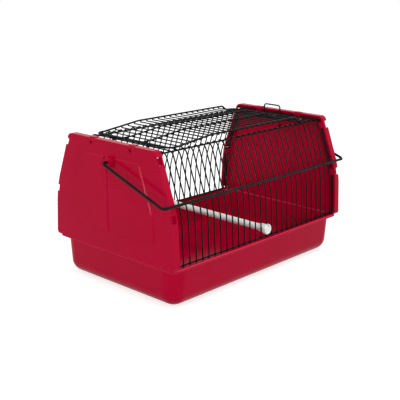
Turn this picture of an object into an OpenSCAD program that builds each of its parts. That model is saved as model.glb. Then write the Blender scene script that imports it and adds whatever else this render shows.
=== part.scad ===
// Travel carrier for small birds: plastic tray, two moulded end panels, wire bars,
// wire roof door with a latch, swinging carry handle and a perch.
// Origin under the middle of the tray, X along the length, Y to the back, Z up.

/* [Main sizes] */
// length over the two end panels
carrier_length = 300; // [280:1:330]
// height of the end panels' top edge above the floor
panel_top = 171.7; // [169:0.1:174]
// height of the tray's rim above the floor
rim_top = 46.9; // [42:0.1:47]

/* [Tray] */
// half the length of the tray's wall at its top
wall_half_length = 146.4; // [143:0.1:146.5]
// half the width of the tray's wall at its top
wall_half_width = 93.1; // [92.6:0.1:93.5]
// radius of the wall's upright corners at the top
wall_corner = 20; // [19:0.5:24]
// slope of the wall in degrees
wall_draft = 4; // [2:0.5:5]
// radius of the rounded bottom edge
bottom_round = 16; // [12:0.5:16]
// thickness of the tray's wall and floor
tray_wall = 2; // [1.6:0.1:2.6]
// how far the rim stands out past the wall
rim_overhang = 2.5; // [1.5:0.1:2.6]
// thickness of the rim
rim_thick = 3; // [2:0.1:4]
// radius of the rim's corners
rim_corner = 6; // [4:0.5:9]

/* [End panels] */
// thickness of the panel's face
panel_thick = 2.2; // [1.8:0.1:2.8]
// depth of the flange round the panel
flange_depth = 8; // [6:0.5:9]
// thickness of the flange
flange_thick = 2; // [1.6:0.1:2.4]
// distance from the middle of the bars out to the panel's edge
panel_margin = 6.8; // [6.6:0.1:7.4]
// radius of the panel's two top corners
panel_top_corner = 7; // [5:0.5:9]
// radius of the panel's two bottom corners
panel_foot_corner = 4; // [2:0.5:6]
// height of the raised fields on the face
field_raise = 1.4; // [0.8:0.1:2]
// half the width of the plain rib between the two raised fields
rib_half = 5; // [3:0.5:7]
// distance of the raised fields inside the bars' line
field_inset = 22; // [19:0.5:25]
// height of the raised fields' lower edge
field_low = 69; // [64:0.5:74]
// distance of the raised fields' upper edge below the panel's top
field_drop = 17.2; // [15.5:0.1:20.5]
// radius of the raised fields' corners
field_corner = 3; // [2:0.5:5]
// width of the flat ring that the fields leave round the handle's boss
boss_ring = 4; // [2:0.5:6]
// height of a clip slot in the panel's edge
slot_height = 8.6; // [6:0.1:10]
// depth of a clip slot into the face
slot_depth = 3; // [2.2:0.1:3.6]
// length of a clip slot along the flange
slot_length = 6; // [5:0.5:6.5]
// distance of the upper slot's middle below the panel's top
upper_slot_drop = 10.2; // [9.7:0.1:13.7]
// height of the middle of the middle clip slots
middle_slot_z = 103.4; // [98:0.1:110]
// radius of the two holes below the panel's top edge
hook_hole_r = 1.9; // [1.4:0.1:2.2]
// distance of those holes from the middle of the panel
hook_hole_y = 31.7; // [24:0.1:40]
// distance of those holes below the top edge
hook_hole_drop = 5.2; // [4.6:0.1:6]
// width of a snap hook behind the panel
hook_width = 8; // [6:0.5:10]
// how far a snap hook reaches past the end hoop's wire
hook_behind = 1.2; // [0.8:0.1:2]
// height of the small bumps above the panel's top edge
bump_height = 0.7; // [0.4:0.1:1.2]

/* [Bars] */
// radius of a bar
bar_r = 0.8; // [0.7:0.05:0.9]
// distance from one of the bars that run over the roof to the next
bar_pitch = 10; // [9.6:0.1:10]
// distance of the last bar that runs over the roof from the end panel's face
hoop_inset = 10; // [9.5:0.5:12]
// number of bars that end at the roof opening, in the front and in the back
bar_count = 23; // [21:2:23]
// number of bars at each end that run over the roof from front to back
hoop_count = 3; // [2:1:3]
// distance of the bars' feet inside the wall's top outline
foot_inset = 1.6; // [1.1:0.1:2.1]
// lean of the bars' lower part in degrees
low_lean = 3; // [2:0.5:4]
// lean of the bars' upper part in degrees
high_lean = 20.5; // [20:0.5:21]
// length of the bars' lower straight part
low_length = 42.6; // [40:0.1:45]
// radius of the bend between the two parts
bend_r = 90; // [85:1:95]
// radius of the bend at the top
crown_r = 8; // [7:0.5:9]
// distance of the roof's wires below the panels' top
roof_drop = 5.1; // [4.7:0.1:6.2]
// radius of the long rails at the top and at the foot of the bars
rail_r = 1; // [0.8:0.1:1.2]
// radius of the two stiff end hoops
end_hoop_r = 1; // [0.9:0.05:1.2]
// distance of the end hoops inside the panel's outer face
end_hoop_inset = 5.4; // [4.6:0.1:6]

/* [Roof door] */
// radius of the wire of the door's frame
frame_r = 1.1; // [0.9:0.05:1.2]
// radius of the door's thin cross wires
cross_r = 0.75; // [0.6:0.05:0.8]
// radius of the door's two long wires
long_r = 0.9; // [0.8:0.05:1]
// gap between the end of a cross wire and the end of the bar in line with it
end_gap = 0.3; // [0.2:0.05:0.5]
// distance of the two long wires from the door's middle
long_y = 16; // [14.5:0.5:22]
// height of the flat part of the door above its ends
door_rise = 5.6; // [4:0.1:7]
// slope of the door's long ramp at its hinged end in degrees
hinge_ramp = 6; // [5.5:0.5:9]
// slope of the door's short ramp at its free end in degrees
free_ramp = 35; // [30:1:40]
// radius of the door frame's corners
door_corner = 9.5; // [8:0.5:11]
// level length between a corner of the door frame and the start of a ramp
corner_level = 4; // [3.5:0.5:5]
// radius of the bends at the ends of the short ramp
ramp_bend = 8; // [5:0.5:8]
// distance of the hinge eyes from the door's middle
eye_y = 28; // [22:1:40]
// radius of the wire of the hinge eyes and of the latch
eye_r = 0.9; // [0.8:0.05:1]

/* [Latch] */
// half the width of the latch loop, middle of wire
latch_half = 12.9; // [10:0.1:14]
// height of the latch loop above its axis, middle of wire
latch_height = 13; // [12.5:0.1:14]
// radius of the latch loop's corners
latch_corner = 3.5; // [2.5:0.5:5]

/* [Carry handle] */
// radius of the handle's wire
handle_r = 1.6; // [1.4:0.05:1.8]
// distance of the handle's pivot below the panels' top
pivot_drop = 22.1; // [20.7:0.1:24.7]
// distance of the handle's arms outside the panels' faces
arm_offset = 11.4; // [10:0.1:13]
// radius of the bends between arm, pivot pin and crossbar
handle_bend = 4.5; // [3.5:0.5:6]
// radius of the boss that carries the pivot
boss_r = 6; // [4.5:0.5:7]
// how far the boss stands out from the panel's face
boss_length = 5; // [3.5:0.5:5.2]
// place on the panel's bend where the handle rests, in degrees
rest_place = 19; // [16:0.5:20]

/* [Perch] */
// radius of the perch
perch_r = 4; // [3:0.5:5]
// height of the perch's middle above the floor
perch_z = 57; // [56.8:0.1:70]
// number of bars from the middle bar to the one that carries the perch
perch_bar = 1; // [0:1:3]
// radius of the perch's end caps
cap_r = 5.3; // [5:0.1:6]
// radius of the disc on the end of a cap
disc_r = 6.6; // [6:0.1:7]
// depth of the disc behind the middle of its bar
disc_behind = 1.5; // [1.2:0.1:2]
// height of the bottom of the disc's notch above the perch's middle
notch_low = 3; // [2:0.1:4]
// how far a cap stands out past the bars
cap_out = 3; // [2.4:0.1:5]
// length of a cap inside the bars
cap_in = 9; // [7:0.5:12]
// depth of the socket in a cap that takes the perch
socket_depth = 4; // [3:0.5:5]

/* [Fits] */
// gap between welded or seated pieces that only touch
seat_gap = 0.05; // [0.02:0.01:0.08]
// radial clearance of a turning wire in its bearing
turn_gap = 0.08; // [0.05:0.01:0.1]
// gap left where a moving piece comes to rest
rest_gap = 0.3; // [0.2:0.05:0.4]
// clearance of a bar in the slot of a perch cap
slot_gap = 0.15; // [0.1:0.05:0.25]

/* [Hidden] */
$fn = 32;
half_length = carrier_length / 2;
axis_x = half_length - hoop_inset - (hoop_count - 1) * bar_pitch;
short_pitch = 2 * axis_x / (bar_count + 1);
latch_x = axis_x + bar_pitch;
hoop_x = half_length - end_hoop_inset;
panel_foot = rim_top + seat_gap;
field_high = panel_top - field_drop;
upper_slot_z = panel_top - upper_slot_drop;
roof_z = panel_top - roof_drop;
pivot_z = panel_top - pivot_drop;
foot_y = wall_half_width - foot_inset;
overlap = 0.5;
cut_past = 1;
knot_swell = 1.03;
knot_reach = 0.2;
arc_steps = 7;
slight_steps = 3;
crown_steps = 5;

// Side outline shared by bars and panels, as [y, z] points for the back half.
function out(a) = [cos(a), sin(a)];
function along(a) = [-sin(a), cos(a)];
foot = [foot_y, rim_top + seat_gap + end_hoop_r * sin(low_lean)];
bend_start = foot + low_length * along(low_lean);
bend_centre = bend_start - bend_r * out(low_lean);
function on_bend(a, off) = bend_centre + (bend_r + off) * out(a);
bend_end = on_bend(high_lean, 0);
function up_to(p, a, z) = p + (z - p[1]) / cos(a) * along(a);
function crown_centre(off, top, r) =
    up_to(on_bend(high_lean, off) - r * out(high_lean), high_lean, top - r);
function foot_centre(off, low, r) = up_to(foot + (off - r) * out(low_lean), low_lean, low + r);
crown = crown_centre(0, roof_z, crown_r);
clip_place = asin((middle_slot_z - bend_centre[1]) / (bend_r + panel_margin));
function arc_points(c, r, a, b, steps = arc_steps) =
    [for (i = [0:steps]) c + r * out(a + (b - a) * i / steps)];
function half_outline(off, low, low_r, top, top_r) = concat(
    arc_points(foot_centre(off, low, low_r), low_r, -90, low_lean),
    arc_points(bend_centre, bend_r + off, low_lean, high_lean),
    arc_points(crown_centre(off, top, top_r), top_r, high_lean, 90));
function flipped(pts) = [for (i = [len(pts) - 1:-1:0]) [-pts[i][0], pts[i][1]]];
function outline(off, low, low_r, top, top_r) =
    let (h = half_outline(off, low, low_r, top, top_r)) concat(h, flipped(h));

// Middle of a bar's wire from its foot to the crown of its top bend.
bar_side = concat([foot], arc_points(bend_centre, bend_r, low_lean, high_lean, slight_steps),
    arc_points(crown, crown_r, high_lean, 90, crown_steps));
function in_yz(pts) = [for (p = pts) [0, p[0], p[1]]];

// The rails and the door's side wires run under and over the crown, to the nearest 0.01.
rail_y = round(100 * crown[0]) / 100;
rail_z = roof_z - bar_r - rail_r - seat_gap;
foot_rail_z = rim_top + rail_r + seat_gap;
foot_rail_y = up_to(foot, low_lean, foot_rail_z)[0]
    - (bar_r + rail_r + seat_gap) / cos(low_lean);
rail_end = hoop_x - end_hoop_r - seat_gap;

// Door, measured from its hinge axis.
end_wire_z = bar_r + frame_r + turn_gap;
door_length = 2 * axis_x;
ramp_start = door_corner + corner_level;
rise_end = ramp_start + ramp_run(hinge_ramp);
low_end = door_length - ramp_start;
fall_start = low_end - ramp_run(free_ramp);
function ramp_run(a) = door_rise / tan(a);
// Points of a bend about the corner p of a line whose slope goes from a to b.
function turn(p, a, b) =
    let (side = sign(b - a), start = p - ramp_bend * tan(abs(b - a) / 2) * out(a))
    [for (i = [0:slight_steps]) let (f = a + (b - a) * i / slight_steps)
        start + side * ramp_bend * (along(a) - along(f))];
// Middle of the door's long wires, as distance from the hinge and height.
door_line = concat([[door_corner, 0], [ramp_start, 0], [rise_end, door_rise]],
    turn([fall_start, door_rise], 0, -free_ramp), turn([low_end, 0], -free_ramp, 0),
    [[door_length - door_corner, 0]]);
function line_z(x) = lookup(x, door_line);
// Middle of the door's side wire at the back, with a round corner at each end, level with
// the end wires.
function corner_of_door(x, a) = [for (p =
    arc_points([x, rail_y - door_corner], door_corner, a, a - 90, crown_steps)) [p[0], p[1], 0]];
door_side = concat(corner_of_door(door_corner, 180),
    [for (i = [1:len(door_line) - 2]) [door_line[i][0], rail_y, door_line[i][1]]],
    corner_of_door(door_length - door_corner, 90));
function steepness(x) = atan(max(abs(line_z(x + cross_r) - line_z(x)),
                                 abs(line_z(x) - line_z(x - cross_r))) / cross_r);
function cross_z(x) = end_wire_z + line_z(x)
    - (frame_r * knot_swell + cross_r + seat_gap) / cos(steepness(x));
eye_ring = bar_r + turn_gap + eye_r;
eye_open = asin((frame_r + seat_gap) / end_wire_z);

// Handle, measured from its pivot.
rest_point = on_bend(rest_place, panel_margin + handle_r + rest_gap);
arm_length = norm([rest_point[0], pivot_z - rest_point[1]]);
rest_angle = atan2(pivot_z - rest_point[1], rest_point[0]);
arm_x = half_length + arm_offset;
pin_end = half_length - panel_thick - 2 * handle_r;

perch_bar_y = up_to(foot, low_lean, perch_z)[0];
cap_start = perch_bar_y - cap_in;
perch_x = perch_bar * short_pitch;

crimson = [0.66, 0.01, 0.16];
black_wire = [0.03, 0.03, 0.035];
off_white = [0.88, 0.89, 0.86];

// Straight round wire from a to b.
module rod(a, b, r) { translate(a) turn_to(b - a) cylinder(h = norm(b - a), r = r); }

// Turn a shape that stands along Z so that it lies along d.
module turn_to(d) {
    rotate([0, acos(d[2] / norm(d)), atan2(d[1], d[0])]) children();
}

// Bent round wire: flat arc of radius bend about Z, from angle a over sweep.
module bend(bend_radius, a, sweep, r) {
    rotate([0, 0, a]) rotate_extrude(angle = sweep) translate([bend_radius, 0]) circle(r = r);
}

// Swelling where two lengths of one wire meet, with its poles inside them.
module knot(p, d, r) { translate(p) turn_to(d) rotate(90) sphere(r = r * knot_swell); }

// Wire along a list of points, with a knot at each turn.
module wire(points, r) {
    last = len(points) - 1;
    for (i = [1:last]) {
        a = points[i - 1];
        b = points[i];
        step = knot_reach * r * (b - a) / norm(b - a);
        rod(i > 1 ? a + step : a, i < last ? b - step : b, r);
        if (i < last) knot(b, b - a, r);
    }
}

// Wire that closes on itself, with a knot at each point.
module closed_wire(points, r) {
    for (i = [0:len(points) - 1]) {
        a = points[i];
        b = points[(i + 1) % len(points)];
        step = knot_reach * r * (b - a) / norm(b - a);
        rod(a + step, b - step, r);
        knot(b, b - a, r);
    }
}

// Turn a flat shape in X, Y so that it stands in Y, Z.
module stand_yz() { rotate([90, 0, 90]) children(); }

// Turn a flat shape in X, Y so that it stands in X, Z.
module stand_xz() { rotate([90, 0, 0]) children(); }

// Bar that ends on the top rail.
module short_bar() { wire(in_yz(bar_side), bar_r); }

// Bar that runs over the roof and down the other side.
module hoop(r) { wire(in_yz(concat(bar_side, flipped(bar_side))), r); }

module short_bars() {
    for (i = [0:bar_count - 1])
        translate([(i - (bar_count - 1) / 2) * short_pitch, 0, 0]) short_bar();
}

module front_bars() { color(black_wire) mirror([0, 1, 0]) short_bars(); }

module back_bars() { color(black_wire) short_bars(); }

module roof_hoops() {
    for (i = [0:hoop_count - 1]) translate([axis_x + i * bar_pitch, 0, 0]) hoop(bar_r);
}

module left_roof_hoops() { color(black_wire) mirror([1, 0, 0]) roof_hoops(); }

module right_roof_hoops() { color(black_wire) roof_hoops(); }

module left_end_hoop() { color(black_wire) translate([-hoop_x, 0, 0]) hoop(end_hoop_r); }

module right_end_hoop() { color(black_wire) translate([hoop_x, 0, 0]) hoop(end_hoop_r); }

module rail(y, z) { color(black_wire) rod([-rail_end, y, z], [rail_end, y, z], rail_r); }

module front_top_rail() { rail(-rail_y, rail_z); }

module back_top_rail() { rail(rail_y, rail_z); }

module front_foot_rail() { rail(-foot_rail_y, foot_rail_z); }

module back_foot_rail() { rail(foot_rail_y, foot_rail_z); }

// Rectangle with round corners.
module rounded(half_x, half_y, r) {
    square([2 * half_x, 2 * (half_y - r)], center = true);
    square([2 * (half_x - r), 2 * half_y], center = true);
    for (x = [-1, 1], y = [-1, 1]) translate([x * (half_x - r), y * (half_y - r)]) circle(r = r);
}

// Section of the solid tray from its corner centre outward, drawn in by inset.
module tray_section(inset, top) {
    low_u = wall_corner - (rim_top - bottom_round + bottom_round * sin(wall_draft)) * tan(wall_draft);
    centre_u = low_u - bottom_round * cos(wall_draft);
    r = bottom_round - inset;
    polygon([[0, inset], [centre_u, inset],
             [centre_u + r * cos(wall_draft), bottom_round - r * sin(wall_draft)],
             [wall_corner - inset / cos(wall_draft) + (top - rim_top) * tan(wall_draft), top],
             [0, top]]);
    intersection() {
        translate([centre_u, bottom_round]) circle(r = r);
        translate([centre_u, 0]) square([2 * r, bottom_round]);
    }
}

// Solid with the tray's shape.
module tray_solid(inset, top) {
    cx = wall_half_length - wall_corner;
    cy = wall_half_width - wall_corner;
    translate([-cx, -cy, inset]) cube([2 * cx, 2 * cy, top - inset]);
    for (x = [0, 1], y = [0, 1]) mirror([x, 0, 0]) mirror([0, y, 0])
        translate([cx, cy, 0]) rotate_extrude(angle = 90) tray_section(inset, top);
    for (y = [0, 1]) mirror([0, y, 0]) translate([-cx, cy, 0])
        stand_yz() linear_extrude(2 * cx) tray_section(inset, top);
    for (x = [0, 1]) mirror([x, 0, 0]) translate([cx, cy, 0])
        stand_xz() linear_extrude(2 * cy) tray_section(inset, top);
}

module base_tray() {
    color(crimson) difference() {
        union() {
            tray_solid(0, rim_top);
            translate([0, 0, rim_top - rim_thick]) linear_extrude(rim_thick)
                rounded(wall_half_length + rim_overhang, wall_half_width + rim_overhang,
                        rim_corner);
        }
        tray_solid(tray_wall, rim_top + cut_past);
    }
}

// One raised field of the panel's face, in Y, Z.
module field() {
    difference() {
        polygon(concat([[rib_half, field_low]],
            half_outline(-field_inset, field_low, field_corner, field_high, field_corner),
            [[rib_half, field_high]]));
        translate([0, pivot_z]) circle(r = boss_r + boss_ring);
    }
}

// Put a shape that is drawn at the panel's edge, Y outward, Z along the edge, on the edge.
module on_edge(p, a) { translate([0, p[0], p[1]]) rotate([a, 0, 0]) children(); }

// The upper and the middle clip on the panel's slanted edge.
module at_side_clips() {
    on_edge(up_to(on_bend(high_lean, panel_margin), high_lean, upper_slot_z), high_lean)
        children();
    on_edge(on_bend(clip_place, panel_margin), clip_place) children();
}

module clip_block() {
    deep = panel_margin + end_hoop_r + hook_behind;
    translate([half_length - flange_depth, -deep, -hook_width / 2])
        cube([flange_depth - panel_thick / 2, deep - flange_thick + overlap, hook_width]);
}

module panel_outline() {
    polygon(outline(panel_margin, panel_foot, panel_foot_corner, panel_top, panel_top_corner));
}

module flange_hollow() {
    polygon(outline(panel_margin - flange_thick, panel_foot - cut_past, overlap,
                    panel_top - flange_thick, panel_top_corner - flange_thick));
}

module panel_body() {
    translate([half_length - panel_thick, 0, 0]) stand_yz() linear_extrude(panel_thick)
        panel_outline();
    translate([half_length - flange_depth, 0, 0]) stand_yz() linear_extrude(flange_depth)
        difference() {
            panel_outline();
            flange_hollow();
        }
    for (y = [0, 1]) mirror([0, y, 0]) {
        translate([half_length, 0, 0]) stand_yz() linear_extrude(field_raise) field();
        at_side_clips() clip_block();
        on_edge([hook_hole_y, panel_top], 90) clip_block();
        translate([half_length - flange_depth, hook_hole_y - hook_width / 2, panel_top - overlap])
            cube([flange_depth - panel_thick, hook_width, bump_height + overlap]);
    }
    translate([half_length, 0, pivot_z]) rotate([0, 90, 0])
        cylinder(h = boss_length, r = boss_r);
}

module end_panel() {
    difference() {
        panel_body();
        for (y = [0, 1]) mirror([0, y, 0]) {
            at_side_clips() slot();
            translate([half_length - flange_depth - cut_past, hook_hole_y,
                       panel_top - hook_hole_drop]) rotate([0, 90, 0])
                cylinder(h = flange_depth + 2 * cut_past, r = hook_hole_r);
        }
        translate([half_length - panel_thick - cut_past, 0, pivot_z]) rotate([0, 90, 0])
            cylinder(h = panel_thick + boss_length + 2 * cut_past, r = handle_r + turn_gap);
        translate([hoop_x, 0, 0]) hoop(end_hoop_r + seat_gap);
    }
}

module slot() {
    translate([half_length - slot_length, -slot_depth, -slot_height / 2])
        cube([slot_length + cut_past, slot_depth + cut_past, slot_height]);
}

module left_end_panel() { color(crimson) mirror([1, 0, 0]) end_panel(); }

module right_end_panel() { color(crimson) end_panel(); }

// Long wire of the door whose ends lie short of the two end wires' middles by start.
module long_wire(start, r) {
    wire([for (p = concat([[start, 0]], [for (i = [1:len(door_line) - 2]) door_line[i]],
                          [[door_length - start, 0]])) [p[0], 0, p[1]]], r);
}

module at_hinge() { translate([-axis_x, 0, roof_z]) children(); }

module door_frame() {
    front_side = [for (i = [len(door_side) - 1:-1:0])
        [door_side[i][0], -door_side[i][1], door_side[i][2]]];
    color(black_wire) at_hinge() translate([0, 0, end_wire_z])
        closed_wire(concat(door_side, front_side), frame_r);
}

module door_long_wires() {
    color(black_wire) at_hinge() for (y = [-long_y, long_y])
        translate([0, y, end_wire_z]) long_wire(frame_r + seat_gap, long_r);
}

module door_cross_wires() {
    reach = rail_y - end_gap;
    color(black_wire) at_hinge() for (i = [1:bar_count]) {
        x = i * short_pitch;
        rod([x, -reach, cross_z(x)], [x, reach, cross_z(x)], cross_r);
    }
}

module door_hinge_eyes() {
    color(black_wire) at_hinge() for (y = [-eye_y, eye_y]) translate([0, y, 0])
        stand_xz() bend(eye_ring, 90 + eye_open, 360 - 2 * eye_open, eye_r);
}

module door_latch() {
    top_y = latch_half - latch_corner;
    color(black_wire) translate([latch_x, 0, roof_z]) {
        for (y = [0, 1]) mirror([0, y, 0]) {
            translate([0, latch_half, 0]) stand_xz() rotate_extrude()
                translate([eye_ring, 0]) circle(r = eye_r);
            rod([0, latch_half, eye_ring], [0, latch_half, latch_height - latch_corner], eye_r);
            translate([0, top_y, latch_height - latch_corner]) stand_yz()
                bend(latch_corner, 0, 90, eye_r);
        }
        rod([0, -top_y, latch_height], [0, top_y, latch_height], eye_r);
    }
}

module carry_handle() {
    side = arm_x - handle_bend;
    color(black_wire) translate([0, 0, pivot_z]) rotate([rest_angle, 0, 0]) {
        for (x = [0, 1]) mirror([x, 0, 0]) {
            rod([pin_end, 0, 0], [side, 0, 0], handle_r);
            translate([side, -handle_bend, 0]) bend(handle_bend, 0, 90, handle_r);
            rod([arm_x, -handle_bend, 0], [arm_x, handle_bend - arm_length, 0], handle_r);
            translate([side, handle_bend - arm_length, 0]) bend(handle_bend, -90, 90, handle_r);
        }
        rod([-side, -arm_length, 0], [side, -arm_length, 0], handle_r);
    }
}

module perch_rod() {
    end = cap_start + socket_depth - seat_gap;
    color(off_white) rod([perch_x, -end, perch_z], [perch_x, end, perch_z], perch_r);
}

// End cap of the perch. Its slot takes a bar, which shows in the notch of the cap's disc.
module perch_cap() {
    slot_half = bar_r + slot_gap;
    translate([perch_x, 0, 0]) difference() {
        union() {
            rod([0, cap_start, perch_z], [0, perch_bar_y, perch_z], cap_r);
            rod([0, perch_bar_y - disc_behind, perch_z], [0, perch_bar_y + cap_out, perch_z],
                disc_r);
        }
        rod([0, cap_start - cut_past, perch_z], [0, cap_start + socket_depth, perch_z],
            perch_r + seat_gap);
        translate([0, perch_bar_y, perch_z]) rotate([low_lean, 0, 0]) {
            translate([-slot_half, -slot_half, notch_low])
                cube([2 * slot_half, 2 * cap_out + disc_r, 2 * disc_r]);
            translate([-slot_half, -slot_half, -2 * disc_r])
                cube([2 * slot_half, 2 * slot_half, 2 * disc_r + notch_low + overlap]);
        }
    }
}

module back_perch_cap() { color(off_white) perch_cap(); }

module front_perch_cap() { color(off_white) mirror([0, 1, 0]) perch_cap(); }

base_tray();
left_end_panel();
right_end_panel();
front_bars();
back_bars();
left_roof_hoops();
right_roof_hoops();
left_end_hoop();
right_end_hoop();
front_top_rail();
back_top_rail();
front_foot_rail();
back_foot_rail();
door_frame();
door_long_wires();
door_cross_wires();
door_hinge_eyes();
door_latch();
carry_handle();
perch_rod();
front_perch_cap();
back_perch_cap();
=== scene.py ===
# %% [markdown]
# A bird travel carrier, dressed for a picture
#
# The carrier is a crimson plastic tray with two end panels, joined by black wire: bars down
# the sides, hoops over the roof, and a roof door that swings up on its hinge. The frame that
# is loaded here holds every piece at its true size, and this lesson gives the pieces that
# show their moulded edges, smooth bends, welds and finishes.

import math

import bmesh
import bpy
from mathutils import Matrix, Vector


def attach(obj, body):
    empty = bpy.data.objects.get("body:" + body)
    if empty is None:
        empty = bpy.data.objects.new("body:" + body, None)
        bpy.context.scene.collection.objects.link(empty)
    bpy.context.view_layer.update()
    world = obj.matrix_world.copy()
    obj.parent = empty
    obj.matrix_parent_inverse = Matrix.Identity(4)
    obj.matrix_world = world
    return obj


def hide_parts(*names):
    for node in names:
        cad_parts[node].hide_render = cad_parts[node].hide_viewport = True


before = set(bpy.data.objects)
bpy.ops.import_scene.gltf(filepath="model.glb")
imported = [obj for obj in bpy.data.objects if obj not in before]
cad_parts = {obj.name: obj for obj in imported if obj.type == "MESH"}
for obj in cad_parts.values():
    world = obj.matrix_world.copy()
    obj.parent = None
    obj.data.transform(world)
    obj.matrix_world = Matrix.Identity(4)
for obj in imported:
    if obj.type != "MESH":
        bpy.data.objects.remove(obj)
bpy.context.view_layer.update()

# %% [markdown]
# The camera comes first
#
# The photograph looks down a little at the front left corner. The camera stands where it
# stood, so that every later picture can be laid beside the photograph. A camera that was
# held by hand leans a little: a turn about its own line of sight gives that lean.

# %% Camera
CAMERA_PLACE = Vector((-0.7135, -0.6579, 0.3528))
CAMERA_AIM = Vector((-0.0130, -0.0054, 0.0798))
CAMERA_LEAN = math.radians(0.441)
SENSOR_WIDTH, LENS, NEAR = 36, 73.7, 0.01

backward = (CAMERA_PLACE - CAMERA_AIM).normalized()
sideways = Vector((0, 0, 1)).cross(backward).normalized()
upward = backward.cross(sideways)
looking = Matrix((sideways, upward, backward)).transposed()
looking = Matrix.Rotation(CAMERA_LEAN, 3, backward) @ looking

camera = bpy.data.objects.new("camera", bpy.data.cameras.new("camera"))
camera.data.sensor_width = SENSOR_WIDTH
camera.data.lens = LENS
camera.data.clip_start = NEAR
camera.matrix_world = Matrix.Translation(CAMERA_PLACE) @ looking.to_4x4()
bpy.context.scene.collection.objects.link(camera)
bpy.context.scene.camera = camera
bpy.context.scene.view_settings.view_transform = "Standard"
print("camera", round((CAMERA_PLACE - CAMERA_AIM).length, 3), "m from its aim")

# %% [markdown]
# Sizes
#
# The pieces are modelled in millimetres, as on a maker's drawing, and brought to metres when
# they are finished. A size that several pieces share is written once, here. Any other stands
# with the piece that needs it.

# %% Sizes of the carrier, in millimetres
RIM_TOP = 46.9
PANEL_TOP = 171.7
ROOF = 166.6
HALF_LENGTH = 150
FOOT = Vector((91.5, 47.0))
LOW_LEAN, HIGH_LEAN = math.radians(3), math.radians(20.5)
BEND_RADIUS, CROWN_RADIUS = 90, 8
BEND_CENTRE = Vector((-0.607, 84.834))
RAIL_Y = 59.36
PITCH = 10
INNER_HOOP_X, END_HOOP_X = 120, 144.6
PANEL_MARGIN = 6.8
TINY = 0.01
print("carrier:", 2 * HALF_LENGTH, "mm long over its panels and", PANEL_TOP, "mm high")

# %% [markdown]
# The side outline
#
# Seen from an end, the bars and the panels share one outline: a steep lower line, a slow
# bend, a leaning upper line and a tight crown. Y runs to the back and Z up, so it is drawn
# in Y and Z. Its corners are found once, and each wire or plate takes them with an offset of
# its own. That keeps the bars at an even distance inside the panels' edges.

# %% Corners of the side outline
def outward(angle):
    return Vector((math.cos(angle), math.sin(angle)))


def uphill(angle):
    return Vector((-math.sin(angle), math.cos(angle)))


def at_height(point, angle, z):
    """Where the line through a point at this lean reaches the height z."""
    return point + uphill(angle) * (z - point.y) / math.cos(angle)


def side_corners(off, low, top):
    """Corners of the side outline, moved outward by off, between two heights."""
    middle = (LOW_LEAN + HIGH_LEAN) / 2
    reach = (BEND_RADIUS + off) / math.cos((HIGH_LEAN - LOW_LEAN) / 2)
    slow_bend = BEND_CENTRE + outward(middle) * reach
    return [at_height(slow_bend, LOW_LEAN, low), slow_bend,
            at_height(slow_bend, HIGH_LEAN, top)]


def standing(points, x=0):
    """Points in Y and Z, stood up at a distance x along the carrier."""
    return [Vector((x, p.x, p.y)) for p in points]


crown_corner = side_corners(0, FOOT.y, ROOF)[2]
print("side outline turns over at y", round(crown_corner.x, 1), "z", round(crown_corner.y, 1))

# %% [markdown]
# One way to draw and one way to pull
#
# A rounded outline and a bent wire are made by the same two moves: go straight, then turn
# about a centre. If the thing that travels is a single point, it leaves a line; if it is a
# round face, it leaves a closed wire, with true arcs at its bends as a wire bender makes
# them. Both need to know where each bend starts, its centre, its axis and its angle.

# %% Turns at the corners
def turns(points, radii, closed):
    """For each corner: start of its bend, centre, axis and angle."""
    found = []
    for i, corner in enumerate(points):
        if not closed and i in (0, len(points) - 1):
            continue
        before = (corner - points[i - 1]).normalized()
        after = (points[(i + 1) % len(points)] - corner).normalized()
        angle = before.angle(after)
        axis = before.cross(after).normalized()
        start = corner - before * radii[i] * math.tan(angle / 2)
        found.append((start, start + axis.cross(before) * radii[i], axis, angle))
    return found


def steps_for(angle, fineness):
    return max(2, math.ceil(math.degrees(angle) / fineness))


bar_corners = [FOOT, side_corners(0, FOOT.y, ROOF)[1], crown_corner]
bar_route = bar_corners + [Vector((RAIL_Y, ROOF))]
BAR_BENDS = [0, BEND_RADIUS, CROWN_RADIUS]
bar_turns = turns(standing(bar_route), BAR_BENDS + [0], False)
print("turns of a side bar in degrees:", [round(math.degrees(t[3]), 1) for t in bar_turns])

# %% [markdown]
# A closed outline
#
# The tray and the panels start as outlines. One point is spun about the centre of each
# corner in turn, and a straight edge joins a bend to the next. A curve could be drawn as
# well, but edges in a bmesh can be filled, bridged and extruded at once.

# %% Draw an outline
def draw_outline(bm, points, radii, fineness=9):
    """A closed line through corner points, rounded to a radius at each. Returns its edges."""
    edges, first, last = [], None, None
    for start, centre, axis, angle in turns(points, radii, True):
        point = bm.verts.new(start)
        if last:
            edges.append(bm.edges.new((last, point)))
        steps = steps_for(angle, fineness)
        known = set(bm.edges)
        spun = bmesh.ops.spin(bm, geom=[point], cent=centre, axis=axis, angle=angle,
                              steps=steps, use_duplicate=False)
        edges += [e for e in bm.edges if e not in known]
        last = next(g for g in spun["geom_last"] if isinstance(g, bmesh.types.BMVert))
        first = first or point
    edges.append(bm.edges.new((last, first)))
    return edges


trial = bmesh.new()
square = [Vector((x, y, 0)) for x, y in ((0, 0), (10, 0), (10, 10), (0, 10))]
print("a square with round corners has", len(draw_outline(trial, square, [2] * 4)), "edges")
trial.free()

# %% [markdown]
# A pulled wire
#
# A wire bender grips a wire, pushes it on and turns it round a pin. Here the wire's round
# end does the same: Extrude pushes it, Spin turns it, and what it leaves behind is one
# closed skin. Its ends get a small round edge, as a cut wire has after it is tumbled.

# %% Pull a wire
SAME_POINT, END_ROUND = 0.001, 0.4


def only(kind, geom):
    return [g for g in geom if isinstance(g, kind)]


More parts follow.
